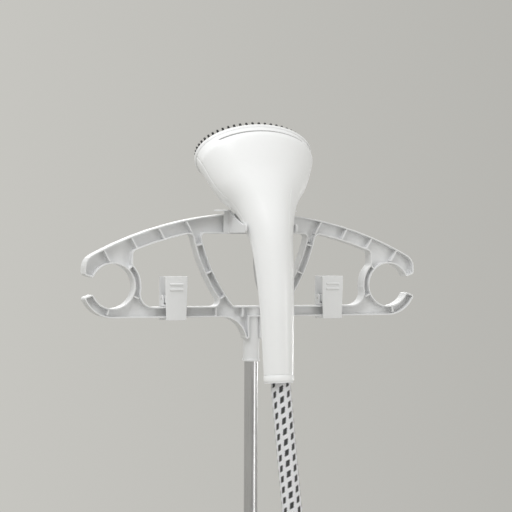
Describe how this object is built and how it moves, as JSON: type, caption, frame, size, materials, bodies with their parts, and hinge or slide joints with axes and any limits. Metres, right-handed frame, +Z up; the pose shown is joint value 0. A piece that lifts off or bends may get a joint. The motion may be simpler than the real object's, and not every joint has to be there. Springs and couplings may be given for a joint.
{
  "type": "garment steamer",
  "caption": "Upright garment steamer: round base with lift-out tank, telescopic pole, trouser hanger with cradle, steam head on a woven hose.",
  "frame": {"origin": "on the floor, under the centre of the round base", "axes": "+Z up along the pole, +X to the right along the hanger, +Y to the back; the user stands on the -Y side"},
  "size_m": [0.411, 0.3, 1.5555],
  "materials": {
    "white_plastic": "semi-gloss moulded ABS",
    "grey_plastic": "fine texture",
    "dark_plastic": "fine texture",
    "steel": "turned",
    "dark_steel": "dull",
    "rubber": "matte",
    "grey_rubber": "matte",
    "wheel_rubber": "matte",
    "cast_aluminium": "as cast",
    "silicone": "translucent",
    "lens": "polished",
    "braid": "woven, white with black flecks",
    "tank_plastic": "smoky clear",
    "brushed_tube": "brushed along its length",
    "steam_steel": "polished",
    "bristle": "nylon tufts"
  },
  "bodies": {
    "base": {"base_lower_shell": "grey_plastic", "base_upper_shell": "white_plastic", "base_screws": "steel", "rubber_feet": "rubber", "wheel_axles": "steel", "pole_socket": "white_plastic", "boiler": "cast_aluminium", "heating_element": "dark_steel", "thermostat": "dark_plastic", "pump": "dark_plastic", "water_tube": "silicone", "steam_tube": "silicone", "dial_switch": "dark_plastic", "button_switch": "dark_plastic", "pilot_lens": "lens", "cord_gland": "rubber", "hose_connector": "grey_plastic", "hose_boot": "grey_rubber", "steam_hose": "braid", "lower_tube": "brushed_tube", "lock_collar": "white_plastic", "lock_pin": "steel"},
    "left_wheel_body": {"wheel_left": "wheel_rubber"},
    "right_wheel_body": {"wheel_right": "wheel_rubber"},
    "dial": {"control_dial": "grey_plastic"},
    "button": {"power_button": "grey_plastic"},
    "tank": {"tank_body": "tank_plastic", "tank_valve": "white_plastic", "tank_seal": "rubber", "cap_pin": "steel"},
    "cap": {"tank_cap": "white_plastic"},
    "bail": {"tank_handle": "grey_plastic"},
    "pole_lock": {"lock_lever": "grey_plastic"},
    "mast": {"upper_tube": "brushed_tube", "tube_bush": "dark_plastic", "hanger_frame": "white_plastic"},
    "left_clip": {"clip_left_body": "white_plastic", "clip_left_pin": "steel", "clip_left_spring": "dark_steel"},
    "left_jaw": {"clip_left_lever": "white_plastic"},
    "right_clip": {"clip_right_body": "white_plastic", "clip_right_pin": "steel", "clip_right_spring": "dark_steel"},
    "right_jaw": {"clip_right_lever": "white_plastic"},
    "head": {"head_back_shell": "white_plastic", "head_front_shell": "white_plastic", "handle_end_collar": "white_plastic", "hose_nipple": "dark_plastic", "steam_valve": "dark_plastic", "steam_pipe": "steel", "steam_chamber": "cast_aluminium", "plate_gasket": "silicone", "steam_plate": "steam_steel", "trigger_pin": "steel", "trigger_spring": "steel"},
    "brush": {"brush_frame": "white_plastic", "brush_bristles": "bristle"},
    "trigger": {"steam_trigger": "grey_plastic"}
  },
  "joints": [
    {"name": "mast_slide", "type": "slide", "parent": "base", "child": "mast", "axis": [0, 0, 1], "range_m": [-0.44, 0], "deforming": ["steam_hose"]},
    {"name": "pole_lock_flip", "type": "hinge", "parent": "base", "child": "pole_lock", "pos_m": [-0.022, 0.06, 0.77], "axis": [0, 1, 0], "range_deg": [0, 100]},
    {"name": "head_lift", "type": "slide", "parent": "mast", "child": "head", "axis": [0, 0.0872, 0.9962], "range_m": [0, 0.06]},
    {"name": "trigger_pull", "type": "hinge", "parent": "head", "child": "trigger", "pos_m": [0, 0.013, 1.416], "axis": [-1, 0, 0], "range_deg": [0, 7], "stiffness_Nm_per_rad": 0.4, "springref_deg": -8.59},
    {"name": "brush_off", "type": "slide", "parent": "head", "child": "brush", "axis": [0, 0.809, 0.5878], "range_m": [0, 0.03]},
    {"name": "left_clip_slide", "type": "slide", "parent": "mast", "child": "left_clip", "axis": [1, 0, 0], "range_m": [-0.01, 0.02]},
    {"name": "left_clip_open", "type": "hinge", "parent": "left_clip", "child": "left_jaw", "pos_m": [-0.0975, 0.06, 1.351], "axis": [-1, 0, 0], "range_deg": [0, 18], "stiffness_Nm_per_rad": 0.5, "springref_deg": -11.46},
    {"name": "right_clip_slide", "type": "slide", "parent": "mast", "child": "right_clip", "axis": [1, 0, 0], "range_m": [-0.02, 0.01]},
    {"name": "right_clip_open", "type": "hinge", "parent": "right_clip", "child": "right_jaw", "pos_m": [0.0975, 0.06, 1.351], "axis": [-1, 0, 0], "range_deg": [0, 18], "stiffness_Nm_per_rad": 0.5, "springref_deg": -11.46},
    {"name": "tank_lift", "type": "slide", "parent": "base", "child": "tank", "axis": [0, 0, 1], "range_m": [0, 0.12]},
    {"name": "cap_flip", "type": "hinge", "parent": "tank", "child": "cap", "pos_m": [0, -0.058, 0.2235], "axis": [-1, 0, 0], "range_deg": [0, 110]},
    {"name": "bail_swing", "type": "hinge", "parent": "tank", "child": "bail", "pos_m": [0, -0.053, 0.2005], "axis": [-1, 0, 0], "range_deg": [0, 90]},
    {"name": "dial_turn", "type": "hinge", "parent": "base", "child": "dial", "pos_m": [-0.08, 0.052, 0.15], "axis": [0, 0, 1], "range_deg": [0, 270]},
    {"name": "button_press", "type": "slide", "parent": "base", "child": "button", "axis": [0, 0, -1], "range_m": [0, 0.003], "stiffness_N_per_m": 400, "springref_m": -0.002},
    {"name": "left_wheel_spin", "type": "hinge", "parent": "base", "child": "left_wheel_body", "pos_m": [-0.0855, 0.096, 0.024], "axis": [1, 0, 0], "continuous": true},
    {"name": "right_wheel_spin", "type": "hinge", "parent": "base", "child": "right_wheel_body", "pos_m": [0.0855, 0.096, 0.024], "axis": [1, 0, 0], "continuous": true}
  ]
}
